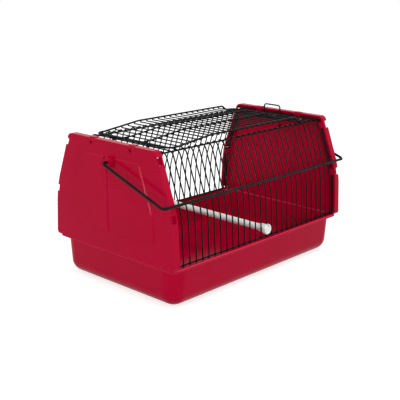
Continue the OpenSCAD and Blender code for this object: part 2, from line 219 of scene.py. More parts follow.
def grow(bm, face, step):
    """Extrudes a face by a step and returns the new face. Its edges and corners go in too,
    so that no face is left inside."""
    grown = bmesh.ops.extrude_face_region(bm, geom=[face, *face.edges, *face.verts])["geom"]
    bmesh.ops.translate(bm, vec=step, verts=only(bmesh.types.BMVert, grown))
    return only(bmesh.types.BMFace, grown)[0]


def pull_wire(bm, points, radii, radius, sides=12, fineness=11, closed=False):
    """A round wire through corner points, with a bend radius at each inner corner."""
    route = points
    if closed:
        half_way = (points[0] + points[-1]) / 2
        route, radii = [half_way] + points + [half_way], [0] + radii + [0]
    heading = (route[1] - route[0]).normalized()
    place = Matrix.Translation(route[0]) @ heading.to_track_quat("Z", "Y").to_matrix().to_4x4()
    ring = bmesh.ops.create_circle(bm, cap_ends=True, segments=sides, radius=radius,
                                   matrix=place)
    start_cap = ring["verts"][0].link_faces[0]
    before = set(bm.verts) - set(ring["verts"])
    face, here = start_cap, route[0]
    for start, centre, axis, angle in turns(route, radii, False):
        face = grow(bm, face, start - here)
        spun = bmesh.ops.spin(bm, geom=[face, *face.edges, *face.verts], cent=centre,
                              axis=axis, angle=angle, steps=steps_for(angle, fineness),
                              use_duplicate=False)
        face = only(bmesh.types.BMFace, spun["geom_last"])[0]
        here = Matrix.Rotation(angle, 3, axis) @ (start - centre) + centre
    if (route[-1] - here).length > TINY:
        face = grow(bm, face, route[-1] - here)
    if closed:
        bmesh.ops.delete(bm, geom=[start_cap, face], context="FACES_ONLY")
        bmesh.ops.remove_doubles(bm, verts=bm.verts, dist=SAME_POINT)
    else:
        bmesh.ops.bevel(bm, geom=list(set(start_cap.edges) | set(face.edges)),
                        offset=radius * END_ROUND, segments=2, profile=0.5,
                        affect="EDGES", material=-1)
    return [v for v in bm.verts if v not in before]


BAR_RADIUS = 0.8
trial = bmesh.new()
pull_wire(trial, standing(bar_route), BAR_BENDS + [0], BAR_RADIUS)
print("a side bar has", len(trial.faces), "faces")
trial.free()

# %% [markdown]
# Marked edges and rows
#
# A finish can paint a highlight along a moulded edge, in a paler colour, if the mesh says
# where it is, so each bevel's new points are marked. And where a piece is repeated, as bars
# are, it is made once and copied a step apart, which keeps every copy true.

# %% Mark edges and repeat pieces
def mark_edges(rounded, layer):
    """Marks the points inside a bevel, and not those that it shares with the flat faces."""
    fresh = set(rounded["faces"])
    for v in rounded["verts"]:
        v[layer] = float(all(f in fresh for f in v.link_faces))


def row(bm, verts, step, count):
    """Repeats what is there, count pieces in all, a step apart."""
    geom = verts + list({f for v in verts for f in v.link_faces})
    for i in range(1, count):
        again = bmesh.ops.duplicate(bm, geom=geom)["geom"]
        bmesh.ops.translate(bm, vec=step * i, verts=only(bmesh.types.BMVert, again))


LENGTHWAYS = Vector((1, 0, 0))
trial = bmesh.new()
wire = pull_wire(trial, standing(bar_route), BAR_BENDS + [0], BAR_RADIUS)
row(trial, wire, LENGTHWAYS * PITCH, 2)
print("two bars in a row have", len(trial.faces), "faces")
trial.free()

# %% [markdown]
# Finishing a piece
#
# Every piece ends in the same way: normals outward, millimetres to metres, a material, the
# body that it rides on and the node that it stands for. Faces are smooth, and an edge that
# turns more than an angle stays sharp. A moulded piece with large flat faces also weights
# its normals by area, so that a round edge doesn't smudge the shading of the face next to it.

# %% Finish
MILLIMETRE = 0.001
MIRROR_X = Matrix.Diagonal((-1, 1, 1, 1))
MIRROR_Y = Matrix.Diagonal((1, -1, 1, 1))
MOST_BY_AREA = 100


def finished(bm, name, body, material, nodes, sharp=40, place=Matrix(), flats=False):
    bmesh.ops.remove_doubles(bm, verts=bm.verts, dist=SAME_POINT / 2)
    stray = [e for e in bm.edges if not e.link_faces]
    bmesh.ops.delete(bm, geom=stray, context="EDGES")
    bmesh.ops.transform(bm, matrix=Matrix.Scale(MILLIMETRE, 4) @ place, verts=bm.verts)
    bmesh.ops.recalc_face_normals(bm, faces=bm.faces)
    mesh = bpy.data.meshes.new(name)
    bm.to_mesh(mesh)
    open_edges = sum(1 for e in bm.edges if not e.is_manifold)
    bm.free()
    mesh.shade_smooth()
    mesh.set_sharp_from_angle(angle=math.radians(sharp))
    mesh.materials.append(material)
    piece = bpy.data.objects.new(name, mesh)
    bpy.context.scene.collection.objects.link(piece)
    if flats:
        even = piece.modifiers.new("flat faces stay flat", "WEIGHTED_NORMAL")
        even.weight, even.keep_sharp = MOST_BY_AREA, True
    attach(piece, body)
    if nodes:
        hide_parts(*nodes)
    print(f"{name}: {len(mesh.polygons)} faces, {open_edges} open edges")
    return piece


print("pieces are drawn at", MILLIMETRE, "m to the unit")

# %% [markdown]
# A surface that has lived
#
# Moulded plastic and coated wire look real through the same small things: a colour that
# drifts a little, a skin that isn't quite even and fine scuffs that dull the gloss. One node
# group makes them all, and it also paints a highlight on marked edges. Each finish gives it
# its own values. The mark is an attribute that the bevels leave on the mesh; a mesh without
# it reads zero, and so shows no painted highlight.

# %% The group and its sockets
life = bpy.data.node_groups.new("Surface life", "ShaderNodeTree")
COLOURS = ("Colour", "Drift colour", "Painted edge highlight")
AMOUNTS = ("Painted highlight amount", "Drift scale", "Grain scale", "Grain height", "Wave scale",
           "Wave height", "Roughness", "Roughness spread", "Scuff amount")
for name in COLOURS:
    life.interface.new_socket(name=name, in_out="INPUT", socket_type="NodeSocketColor")
for name in AMOUNTS:
    life.interface.new_socket(name=name, in_out="INPUT", socket_type="NodeSocketFloat")
for name, kind in (("Colour", "Color"), ("Roughness", "Float"), ("Normal", "Vector")):
    life.interface.new_socket(name=name, in_out="OUTPUT", socket_type="NodeSocket" + kind)

new, link = life.nodes.new, life.links.new
given, result = new("NodeGroupInput"), new("NodeGroupOutput")
where = new("ShaderNodeTexCoord")
print("node group:", life.name, "with", len(life.interface.items_tree), "sockets")

# %% [markdown]
# Four small nodes do all the work inside the group: a noise, a stretch of its middle values
# to the full range, a sum or product, and a mix of two colours. A helper for each keeps the
# wiring short enough to read. Object coordinates tie the pattern to the piece itself.

# %% Helpers for the group's nodes
def noise(scale, detail, source=where.outputs["Object"]):
    made = new("ShaderNodeTexNoise")
    made.inputs["Detail"].default_value = detail
    link(source, made.inputs["Vector"])
    if isinstance(scale, str):
        link(given.outputs[scale], made.inputs["Scale"])
    else:
        made.inputs["Scale"].default_value = scale
    return made.outputs["Fac"]


def mapped(source, low, high):
    made = new("ShaderNodeMapRange")
    made.inputs["From Min"].default_value = low
    made.inputs["From Max"].default_value = high
    link(source, made.inputs["Value"])
    return made.outputs["Result"]


def maths(kind, a, b):
    made = new("ShaderNodeMath")
    made.operation = kind
    link(a, made.inputs[0])
    link(b, made.inputs[1])
    return made.outputs["Value"]


def blended(mask, a, b):
    made = new("ShaderNodeMix")
    made.data_type = "RGBA"
    link(mask, made.inputs["Factor"])
    link(a, made.inputs["A"])
    link(b, made.inputs["B"])
    return made.outputs["Result"]


print("group so far:", len(life.nodes), "nodes")

# %% [markdown]
# Colour, gloss and skin
#
# The colour drifts between two tones, and a painted highlight turns it paler on marked edges.
# Scuffs are noise drawn out into long scratches, kept to a few patches, and they dull the
# gloss together with a finer unevenness. The skin is a slow wave and a fine grain, joined in
# one bump.

# %% Colour, gloss and skin of the group
DRIFT_SPAN, SCRATCH_SPAN = (0.35, 0.65), (0.66, 0.76)
PATCH_SCALE, PATCH_SPAN = 28, (0.45, 0.62)
UNEVEN_SCALE, UNEVEN_SPAN = 75, (0.3, 0.7)
SCRATCH_STRETCH, SCRATCH_TURN = (30, 700, 260), (0.5, 0.35, 0.8)

drift = mapped(noise("Drift scale", 3), *DRIFT_SPAN)
tone = blended(drift, given.outputs["Colour"], given.outputs["Drift colour"])
# Painted highlight: where the bevels' points are marked, the colour is mixed towards a paler
# edge colour, standing in for light along the edges.
edge = new("ShaderNodeAttribute")
edge.attribute_name = "edge"
painted_highlight_mask = maths("MULTIPLY", edge.outputs["Fac"], given.outputs["Painted highlight amount"])
link(blended(painted_highlight_mask, tone, given.outputs["Painted edge highlight"]), result.inputs["Colour"])

stretch = new("ShaderNodeMapping")
stretch.inputs["Scale"].default_value = SCRATCH_STRETCH
stretch.inputs["Rotation"].default_value = SCRATCH_TURN
link(where.outputs["Object"], stretch.inputs["Vector"])
scratches = mapped(noise(1, 2, stretch.outputs["Vector"]), *SCRATCH_SPAN)
patches = mapped(noise(PATCH_SCALE, 2), *PATCH_SPAN)
scuffs = maths("MULTIPLY", maths("MULTIPLY", scratches, patches),
               given.outputs["Scuff amount"])
uneven = maths("MULTIPLY", mapped(noise(UNEVEN_SCALE, 4), *UNEVEN_SPAN),
               given.outputs["Roughness spread"])
dullness = maths("ADD", maths("ADD", uneven, scuffs), given.outputs["Roughness"])
link(dullness, result.inputs["Roughness"])

wave = maths("MULTIPLY", noise("Wave scale", 2), given.outputs["Wave height"])
grain = maths("MULTIPLY", noise("Grain scale", 3), given.outputs["Grain height"])
bump = new("ShaderNodeBump")
bump.inputs["Strength"].default_value = 1
bump.inputs["Distance"].default_value = MILLIMETRE
link(maths("ADD", wave, grain), bump.inputs["Height"])
link(bump.outputs["Normal"], result.inputs["Normal"])
print("whole group:", len(life.nodes), "nodes")

# %% [markdown]
# Finishes
#
# The plastic was polished in its mould, so it is glossy with a faint ripple, and a painted
# highlight makes its edges pinker. The wire is coated black and baked: it is duller, with a
# fine orange peel. The perch is a satin off-white plastic that a bird can grip.

# %% Make a finish
def finish_of(name, values, shader_values):
    material = bpy.data.materials.new(name)
    material.use_nodes = True
    nodes, links = material.node_tree.nodes, material.node_tree.links
    shader = nodes["Principled BSDF"]
    made = nodes.new("ShaderNodeGroup")
    made.node_tree = life
    for key, value in values.items():
        made.inputs[key].default_value = value
    for key, value in shader_values.items():
        shader.inputs[key].default_value = value
    links.new(made.outputs["Colour"], shader.inputs["Base Color"])
    links.new(made.outputs["Roughness"], shader.inputs["Roughness"])
    links.new(made.outputs["Normal"], shader.inputs["Normal"])
    return material


print("a finish sets", len(COLOURS) + len(AMOUNTS), "values of the group")

# %% [markdown]
# The values are judged beside the photograph. The plastic's colour has hardly any green in
# it, which only stays so under light if the shine on it is weak.

# %% Crimson, black and white
# Each finish's edge highlight colour and amount paint a highlight on the marked edges.
crimson = finish_of(
    "crimson gloss plastic",
    {"Colour": (0.45, 0.0004, 0.029, 1), "Drift colour": (0.42, 0.0003, 0.025, 1),
     "Painted edge highlight": (0.80, 0.045, 0.11, 1), "Painted highlight amount": 0.75, "Drift scale": 14,
     "Grain scale": 1600, "Grain height": 0.006, "Wave scale": 45, "Wave height": 0.05,
     "Roughness": 0.12, "Roughness spread": 0.06, "Scuff amount": 0.2},
    {"IOR": 1.5, "Specular IOR Level": 0.04})
black = finish_of(
    "black coated wire",
    {"Colour": (0.004, 0.004, 0.005, 1), "Drift colour": (0.008, 0.008, 0.009, 1),
     "Painted edge highlight": (0.02, 0.02, 0.02, 1), "Painted highlight amount": 0.4, "Drift scale": 60,
     "Grain scale": 2400, "Grain height": 0.02, "Wave scale": 300, "Wave height": 0.03,
     "Roughness": 0.28, "Roughness spread": 0.1, "Scuff amount": 0.15},
    {"IOR": 1.5, "Specular IOR Level": 0.06})
white = finish_of(
    "satin white plastic",
    {"Colour": (0.84, 0.88, 0.85, 1), "Drift colour": (0.78, 0.83, 0.80, 1),
     "Painted edge highlight": (0.84, 0.86, 0.84, 1), "Painted highlight amount": 0.5, "Drift scale": 40,
     "Grain scale": 1800, "Grain height": 0.02, "Wave scale": 120, "Wave height": 0.04,
     "Roughness": 0.42, "Roughness spread": 0.12, "Scuff amount": 0.15},
    {"IOR": 1.49, "Subsurface Weight": 0.06, "Subsurface Radius": (0.004, 0.004, 0.003)})

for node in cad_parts.values():
    node.data.materials.clear()
    node.data.materials.append(black)
print("finishes:", crimson.name, "|", black.name, "|", white.name)

# %% [markdown]
# The side bars
#
# Each bar is one wire: up from the tray's rim, through the slow bend and over the crown,
# where it is welded to the top rail. One bar is pulled, and the rest are copies a pitch
# apart, as a jig would set them. The front row is the back row mirrored. The rails are plain
# straight wires, so the frame's own are kept.

# %% Side bars
BAR_COUNT, BAR_SIDES = 23, 10
first_x = -(BAR_COUNT - 1) / 2 * PITCH
for name, node, place in (("back_bar_row", "back_bars", Matrix()),
                          ("front_bar_row", "front_bars", MIRROR_Y)):
    bm = bmesh.new()
    bar = pull_wire(bm, standing(bar_route, first_x), BAR_BENDS + [0], BAR_RADIUS,
                    sides=BAR_SIDES)
    row(bm, bar, LENGTHWAYS * PITCH, BAR_COUNT)
    finished(bm, name, "carrier", black, [node], place=place)

# %% [markdown]
# The roof hoops
#
# Near each end the bars run on over the roof and down the other side, three in a row, and
# leave the opening for the door between them. The route is the bar's own with its mirror
# image joined on. The last hoop at each end is thicker and sits inside the panel.

# %% Roof hoops
HOOPS_A_SIDE, END_HOOP_RADIUS = 3, 1


def flipped(points):
    return [Vector((-p.x, p.y)) for p in reversed(points)]


def pull_hoop(bm, x, radius, sides=12):
    """A wire up one side, over the roof and down the other."""
    route = standing(bar_corners + flipped(bar_corners), x)
    return pull_wire(bm, route, BAR_BENDS + BAR_BENDS[::-1], radius, sides)


for name, node, side in (("left_hoop_row", "left_roof_hoops", -1),
                         ("right_hoop_row", "right_roof_hoops", 1)):
    bm = bmesh.new()
    hoop = pull_hoop(bm, side * INNER_HOOP_X, BAR_RADIUS)
    row(bm, hoop, LENGTHWAYS * PITCH * side, HOOPS_A_SIDE)
    finished(bm, name, "carrier", black, [node])

for name, node, side in (("left_end_wire", "left_end_hoop", -1),
                         ("right_end_wire", "right_end_hoop", 1)):
    bm = bmesh.new()
    pull_hoop(bm, side * END_HOOP_X, END_HOOP_RADIUS)
    finished(bm, name, "carrier", black, [node])

# %% [markdown]
# The roof door
#
# A round-cornered loop of thicker wire rises from the hinge on a slow ramp, runs level and
# drops at the latch. Two long wires follow it down the middle. The short cross wires are
# plain straight lengths, so the frame's own are kept.

# %% Roof door
DOOR_LENGTH, DOOR_CORNER, DOOR_RISE = 240, 9.5, 5.6
DOOR_ABOVE_ROOF, DOOR_WIRE_RADIUS, CORNER_TO_RAMP = 1.98, 1.1, 4
DOOR_LEVEL = ROOF + DOOR_ABOVE_ROOF
RAMP_START = DOOR_CORNER + CORNER_TO_RAMP
HINGE_RAMP, FREE_RAMP = math.radians(6), math.radians(35)
RAMP_BEND, RAMP_EASE = 8, 3
door_profile = [(RAMP_START, 0), (RAMP_START + DOOR_RISE / math.tan(HINGE_RAMP), DOOR_RISE),
                (DOOR_LENGTH - RAMP_START - DOOR_RISE / math.tan(FREE_RAMP), DOOR_RISE),
                (DOOR_LENGTH - RAMP_START, 0)]


def along_door(y, start):
    """Corner points of a wire from end to end of the door, at a distance y."""
    return [Vector((x - INNER_HOOP_X, y, DOOR_LEVEL + z)) for x, z in
            [(start, 0), *door_profile, (DOOR_LENGTH - start, 0)]]


RAMP_BENDS = [RAMP_EASE, RAMP_EASE, RAMP_BEND, RAMP_BEND]
bm = bmesh.new()
loop = along_door(RAIL_Y, 0) + along_door(-RAIL_Y, 0)[::-1]
pull_wire(bm, loop, ([DOOR_CORNER] + RAMP_BENDS + [DOOR_CORNER]
                     + [DOOR_CORNER] + RAMP_BENDS[::-1] + [DOOR_CORNER]),
          DOOR_WIRE_RADIUS, closed=True)
finished(bm, "door_loop", "roof_door", black, ["door_frame"])

SPINE_Y, SPINE_RADIUS, SPINE_START = 16, 0.9, 1.15
bm = bmesh.new()
for y in (-SPINE_Y, SPINE_Y):
    pull_wire(bm, along_door(y, SPINE_START), [0] + RAMP_BENDS + [0], SPINE_RADIUS)
finished(bm, "door_spines", "roof_door", black, ["door_long_wires"])

# %% [markdown]
# The carry handle
#
# One length of stout wire is bent into a U, and its two ends are bent in again to make the
# pins that turn in the panels' bosses. It hangs at rest against the slanted front.

# %% Carry handle
PIVOT_Z, ARM_X, ARM_LENGTH, PIN_END = 149.6, 161.4, 98.29, 144.6
HANDLE_RADIUS, HANDLE_BEND, HANDLE_SIDES = 1.6, 4.5, 20
REST_ANGLE = math.radians(19.39)
corners = [(PIN_END, 0), (ARM_X, 0), (ARM_X, -ARM_LENGTH),
           (-ARM_X, -ARM_LENGTH), (-ARM_X, 0), (-PIN_END, 0)]
bm = bmesh.new()
pull_wire(bm, [Vector((x, y, 0)) for x, y in corners], [0] + [HANDLE_BEND] * 4 + [0],
          HANDLE_RADIUS, sides=HANDLE_SIDES, fineness=8)
hang = Matrix.Translation((0, 0, PIVOT_Z)) @ Matrix.Rotation(REST_ANGLE, 4, "X")
finished(bm, "handle_wire", "handle", black, ["carry_handle"], place=hang)

# %% [markdown]
# Weld beads
#
# Where two wires cross, they are pressed together and melt: a small bead is left, rounder
# than the wires and under the same coat. The beads are what makes a wire basket look
# welded and not drawn. One bead is a coarse sphere pressed flat.

# %% Weld beads of the carrier
BEAD_SEGMENTS, BEAD_RINGS = 8, 5
FOOT_BEAD_Y, FOOT_BEAD_Z, FOOT_BEAD = 90.5, 47.9, (1.15, 1.0, 0.85)
RAIL_BEAD_Z, RAIL_BEAD = 165.75, (1.15, 1.15, 0.8)


def bead(bm, place, size):
    bmesh.ops.create_uvsphere(bm, u_segments=BEAD_SEGMENTS, v_segments=BEAD_RINGS, radius=1,
                              matrix=Matrix.Translation(place) @ Matrix.Diagonal((*size, 1)))


crossings = BAR_COUNT + 2 * HOOPS_A_SIDE
crossing_x = [(i - crossings // 2) * PITCH for i in range(crossings)]
for name, side in (("front_weld_beads", -1), ("back_weld_beads", 1)):
    bm = bmesh.new()
    for x in crossing_x:
        bead(bm, Vector((x, side * FOOT_BEAD_Y, FOOT_BEAD_Z)), FOOT_BEAD)
        bead(bm, Vector((x, side * RAIL_Y, RAIL_BEAD_Z)), RAIL_BEAD)
    finished(bm, name, "carrier", black, [])

# %% [markdown]
# The door's beads sit on its cross wires, whose height changes along the ramps, and they
# move with the door. Their heights are read from the frame's own cross wires, so that no
# bead floats or sinks.

# %% Weld beads of the door
DOOR_BEAD, DOOR_BEAD_IN = (1.05, 1.1, 0.6), 0.5
cross_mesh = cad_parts["door_cross_wires"].data
heights = {}
for v in cross_mesh.vertices:
    heights.setdefault(round(v.co.x / MILLIMETRE / PITCH) * PITCH, []).append(v.co.z)
bm = bmesh.new()
for x, zs in sorted(heights.items()):
    for y in (DOOR_BEAD_IN - RAIL_Y, -SPINE_Y, SPINE_Y, RAIL_Y - DOOR_BEAD_IN):
        bead(bm, Vector((x, y, max(zs) / MILLIMETRE)), DOOR_BEAD)
finished(bm, "door_weld_beads", "roof_door", black, [])
print("cross wires:", len(heights))

# %% [markdown]
# The tray
#
# The tray is one moulding. Its walls lean in to the floor so that it leaves the mould, its
# bottom edge is round, and a flat rim with nearly square corners carries the panels and
# bars. It is built as a stack of outlines, each a rounded rectangle with the same number of
# points, and Bridge joins each to the next, down the outside and up the inside.

# %% Tray
WALL_X, WALL_Y, WALL_CORNER = 146.4, 93.1, 20
WALL_DRAFT, WALL_THICK = math.radians(4), 2
BOTTOM_ROUND = 16
RIM_OVERHANG, RIM_THICK, RIM_CORNER = 2.5, 3, 6
TRAY_FINENESS = 7.5


def tray_outline(bm, inset, z, corner=None):
    """A rounded rectangle drawn in from the wall's top outline."""
    x, y = WALL_X - inset, WALL_Y - inset
    r = corner or WALL_CORNER - inset
    points = [Vector((x, -y, z)), Vector((x, y, z)), Vector((-x, y, z)), Vector((-x, -y, z))]
    return draw_outline(bm, points, [r] * 4, TRAY_FINENESS)


def shell_levels(inward, steps=8):
    """Insets and heights from the top of the bottom round to the floor."""
    wall = RIM_TOP - BOTTOM_ROUND + BOTTOM_ROUND * math.sin(WALL_DRAFT)
    centre = wall * math.tan(WALL_DRAFT) + BOTTOM_ROUND * math.cos(WALL_DRAFT)
    r = BOTTOM_ROUND - inward
    arc = [-WALL_DRAFT - (math.pi / 2 - WALL_DRAFT) * i / steps for i in range(steps + 1)]
    return [(centre - r * math.cos(a), BOTTOM_ROUND + r * math.sin(a)) for a in arc]


rim_low = RIM_TOP - RIM_THICK
under_rim = (RIM_THICK * math.tan(WALL_DRAFT), rim_low)
rim_edges = [(-RIM_OVERHANG, rim_low, RIM_CORNER), (-RIM_OVERHANG, RIM_TOP, RIM_CORNER)]
lip = (WALL_THICK / math.cos(WALL_DRAFT), RIM_TOP)
levels = [*reversed(shell_levels(0)), under_rim, *rim_edges, lip, *shell_levels(WALL_THICK)]
print("the tray is a stack of", len(levels), "outlines")

# %% [markdown]
# Bridge pairs the points of two loops best when they lie apart. Two of these loops lie in
# one plane, so the stack is first drawn out like a bellows, bridged, and then pressed to
# its true heights.

# %% Bridge the tray
BELLOWS, RIM_ROUND, LIP_ROUND = 15, 0.9, 0.6
bm = bmesh.new()
painted_highlight_layer = bm.verts.layers.float.new("edge")
rings = [tray_outline(bm, level[0], i * BELLOWS, level[2] if len(level) > 2 else None)
         for i, level in enumerate(levels)]
for lower, upper in zip(rings, rings[1:]):
    bmesh.ops.bridge_loops(bm, edges=lower + upper)
for end in (rings[0], rings[-1]):
    bmesh.ops.edgeloop_fill(bm, edges=end)
for ring, level in zip(rings, levels):
    for v in {v for e in ring for v in e.verts}:
        v.co.z = level[1]
bmesh.ops.recalc_face_normals(bm, faces=bm.faces)
rim_at = len(shell_levels(0)) + 1
# The rim's and lip's bevel points are marked, and the finish paints a highlight on them.
for ring, width in zip(rings[rim_at:], (RIM_ROUND, RIM_ROUND, LIP_ROUND)):
    rounded = bmesh.ops.bevel(bm, geom=ring, offset=width, segments=3, profile=0.5,
                              affect="EDGES", material=-1)
    mark_edges(rounded, painted_highlight_layer)
finished(bm, "tray_moulding", "carrier", crimson, ["base_tray"],
         flats=True)

# %% [markdown]
# The end panels
#
# An end panel is a thin plate with a flange all round its slanted sides and top, like a lid
# stood on edge. Its face has two raised fields with a plain rib between them, and a boss
# for the handle's pin. Slots and holes go through, and small blocks behind hold the end
# wire. Such a mixture of bosses and holes is carved: solids are joined and cut with
# Boolean, and the sharp edges are rounded at the end, as the mould's edges are.

# %% Solids to carve with
QUARTER_TURN_TO_X = Matrix.Rotation(math.pi / 2, 4, "Y")


def solid(corners, radii, x_low, x_high):
    """A prism along X from an outline in Y and Z."""
    bm = bmesh.new()
    draw_outline(bm, standing(corners, x_low), radii)
    face = bmesh.ops.edgeloop_fill(bm, edges=bm.edges)["faces"][0]
    grow(bm, face, LENGTHWAYS * (x_high - x_low))
    return bm


def block(low, high, place=Matrix()):
    """A box between two corners."""
    bm = bmesh.new()
    size, middle = Vector(high) - Vector(low), (Vector(high) + Vector(low)) / 2
    bmesh.ops.create_cube(bm, size=1, matrix=place @ Matrix.Translation(middle)
                          @ Matrix.Diagonal((*size, 1)))
    return bm


def pin(radius, x_low, x_high, y, z, sides=32):
    """A round bar along X."""
    bm = bmesh.new()
    middle = Matrix.Translation(((x_low + x_high) / 2, y, z))
    bmesh.ops.create_cone(bm, cap_ends=True, segments=sides, radius1=radius, radius2=radius,
                          depth=x_high - x_low, matrix=middle @ QUARTER_TURN_TO_X)
    return bm


# %% [markdown]
# Boolean is a modifier, so each solid becomes an object for a moment. The modifiers are
# stacked in the order of the work, and Blender's evaluated mesh is taken as the result.

# %% Carve
def as_object(bm):
    bmesh.ops.recalc_face_normals(bm, faces=bm.faces)
    mesh = bpy.data.meshes.new("tool")
    bm.to_mesh(mesh)
    bm.free()
    made = bpy.data.objects.new("tool", mesh)
    bpy.context.scene.collection.objects.link(made)
    return made


def carve(start, steps):
    """Joins or cuts each tool in turn, and returns the bmesh that is left."""
    work = as_object(start)
    tools = []
    for operation, tool in steps:
        tools.append(as_object(tool))
        change = work.modifiers.new(operation, "BOOLEAN")
        change.operation, change.object, change.solver = operation, tools[-1], "EXACT"
    seen = work.evaluated_get(bpy.context.evaluated_depsgraph_get())
    left = bmesh.new()
    left.from_mesh(seen.to_mesh())
    seen.to_mesh_clear()
    for thing in [work, *tools]:
        mesh = thing.data
        bpy.data.objects.remove(thing)
        bpy.data.meshes.remove(mesh)
    return left


drilled = carve(block((-1, -1, -1), (1, 1, 1)), [("DIFFERENCE", pin(0.5, -2, 2, 0, 0))])
print("a block with a hole has", len(drilled.faces), "faces")
drilled.free()

# %% [markdown]
# Outline and raised fields
#
# The plate and the hollow behind it take the side outline with different offsets, so the
# flange comes out equally thick all round. A raised field starts 1 mm inside the plate, so
# that the two join as solids, and its last step up draws in to a sloped edge. The slope is
# narrower than the corner radii, because a corner can't be drawn in past its own centre.

# %% End panel outline and raised fields
PANEL_FOOT = 46.95
PANEL_THICK, FLANGE_DEPTH, FLANGE_THICK = 2.2, 8, 2
FOOT_CORNER, TOP_CORNER = 4, 7
RIB_HALF, FIELD_INSET, FIELD_LOW, FIELD_HIGH = 5, 22, 69, 154.5
FIELD_RAISE, FIELD_SLOPE, FIELD_CORNER, RIB_CORNER = 1.4, 1.1, 3, 2
INTO, PAST, HOLLOW_FOOT_CORNER = 1, 1, 0.5


def whole_outline(off, low, top):
    side = side_corners(off, low, top)
    return side + flipped(side)


def outline_radii(off, low_r, top_r):
    half = [low_r, BEND_RADIUS + off, top_r]
    return half + half[::-1]


def shrink_in(bm, face, inset):
    """Moves each corner of a face inward along its two edges' common line."""
    moves = []
    for loop in face.loops:
        a = (loop.vert.co - loop.link_loop_prev.vert.co).normalized()
        b = (loop.link_loop_next.vert.co - loop.vert.co).normalized()
        inward = face.normal.cross(a) + face.normal.cross(b)
        moves.append((loop.vert, inward.normalized() * inset / math.cos(a.angle(b) / 2)))
    for v, move in moves:
        bmesh.ops.translate(bm, vec=move, verts=[v])


def raised_field(side):
    """One raised field, whose edges slope in to its face."""
    corners = [Vector((RIB_HALF, FIELD_LOW)),
               *side_corners(-FIELD_INSET, FIELD_LOW, FIELD_HIGH),
               Vector((RIB_HALF, FIELD_HIGH))]
    radii = [RIB_CORNER, FIELD_CORNER, BEND_RADIUS - FIELD_INSET, FIELD_CORNER, RIB_CORNER]
    bm = bmesh.new()
    draw_outline(bm, standing(corners, HALF_LENGTH - INTO), radii)
    face = bmesh.ops.edgeloop_fill(bm, edges=bm.edges)["faces"][0]
    if face.normal.x < 0:
        face.normal_flip()
    face = grow(bm, face, LENGTHWAYS * INTO)
    face = grow(bm, face, LENGTHWAYS * FIELD_RAISE)
    face.normal_update()
    shrink_in(bm, face, FIELD_SLOPE)
    bmesh.ops.transform(bm, matrix=Matrix.Diagonal((1, side, 1, 1)), verts=bm.verts)
    return bm


trial = raised_field(1)
print("a raised field stands", FIELD_RAISE, "mm proud and has", len(trial.faces), "faces")
trial.free()

# %% [markdown]
# Places on the slanted edge
#
# The slots, and the small hooks behind them, sit square to the panel's edge, which leans and
# bends. A matrix carries a tool from the origin to a place on the edge and turns it with the
# edge's lean, so each tool is described once, lying flat.

# %% Places for clips and holes
UPPER_SLOT_Z, MIDDLE_SLOT_Z = 161.5, 103.4
HOOK_HOLE_RADIUS, HOOK_HOLE_Y, HOOK_HOLE_DROP = 1.9, 31.7, 5.2


def on_edge(point, angle, side):
    """Place on the panel's edge: Y outward and Z along it."""
    return (Matrix.Diagonal((1, side, 1, 1)) @ Matrix.Translation((0, point.x, point.y))
            @ Matrix.Rotation(angle, 4, "X"))


edge_radius = BEND_RADIUS + PANEL_MARGIN
clip_angle = math.asin((MIDDLE_SLOT_Z - BEND_CENTRE.y) / edge_radius)
high_edge = BEND_CENTRE + outward(HIGH_LEAN) * edge_radius
middle_edge = BEND_CENTRE + outward(clip_angle) * edge_radius
clip_places = [(at_height(high_edge, HIGH_LEAN, UPPER_SLOT_Z), HIGH_LEAN),
               (middle_edge, clip_angle)]
top_place = (Vector((HOOK_HOLE_Y, PANEL_TOP)), math.pi / 2)
print("the middle slot leans by", round(math.degrees(clip_angle), 1), "degrees")

# %% [markdown]
# Hollow, clips, slots and bores
#
# The plate is hollowed from behind first. Then each side gets its field, with room left
# round the boss, its hooks and bumps, its slots and its hole. The boss, its bore and the
# channel for the end wire come last, so that they pass through everything before them.

# %% Tools of the panel
SLOT_HEIGHT, SLOT_DEPTH, SLOT_LENGTH = 8.6, 3, 6
HOOK_WIDTH, HOOK_BEHIND, HOOK_TOP, BUMP_HEIGHT, OVERLAP = 8, 1.2, 1.5, 0.7, 0.5
BOSS_RADIUS, BOSS_LENGTH, BOSS_RING = 6, 5, 4
TURN_GAP, SEAT_GAP = 0.08, 0.05
flange_x = HALF_LENGTH - FLANGE_DEPTH
inside_x = HALF_LENGTH - PANEL_THICK


def hollow():
    off = PANEL_MARGIN - FLANGE_THICK
    return solid(whole_outline(off, PANEL_FOOT - PAST, PANEL_TOP - FLANGE_THICK),
                 outline_radii(off, HOLLOW_FOOT_CORNER, TOP_CORNER - FLANGE_THICK),
                 flange_x - PAST, inside_x)


def field_round_boss(side):
    room = pin(BOSS_RADIUS + BOSS_RING, HALF_LENGTH - 2 * PAST, HALF_LENGTH + 3 * PAST,
               0, PIVOT_Z, sides=48)
    return carve(raised_field(side), [("DIFFERENCE", room)])


def clip_block(place):
    deep = PANEL_MARGIN + END_HOOP_RADIUS + HOOK_BEHIND
    return block((flange_x, -deep, -HOOK_WIDTH / 2),
                 (HALF_LENGTH - PANEL_THICK / 2, -HOOK_TOP, HOOK_WIDTH / 2), place)


def top_bump(y):
    return block((flange_x, y - HOOK_WIDTH / 2, PANEL_TOP - OVERLAP),
                 (inside_x, y + HOOK_WIDTH / 2, PANEL_TOP + BUMP_HEIGHT))


def slot(place):
    return block((HALF_LENGTH - SLOT_LENGTH, -SLOT_DEPTH, -SLOT_HEIGHT / 2),
                 (HALF_LENGTH + 3 * PAST, SLOT_DEPTH + PAST, SLOT_HEIGHT / 2), place)


def hook_hole(y):
    return pin(HOOK_HOLE_RADIUS, flange_x - PAST, HALF_LENGTH + PAST, y,
               PANEL_TOP - HOOK_HOLE_DROP, sides=24)


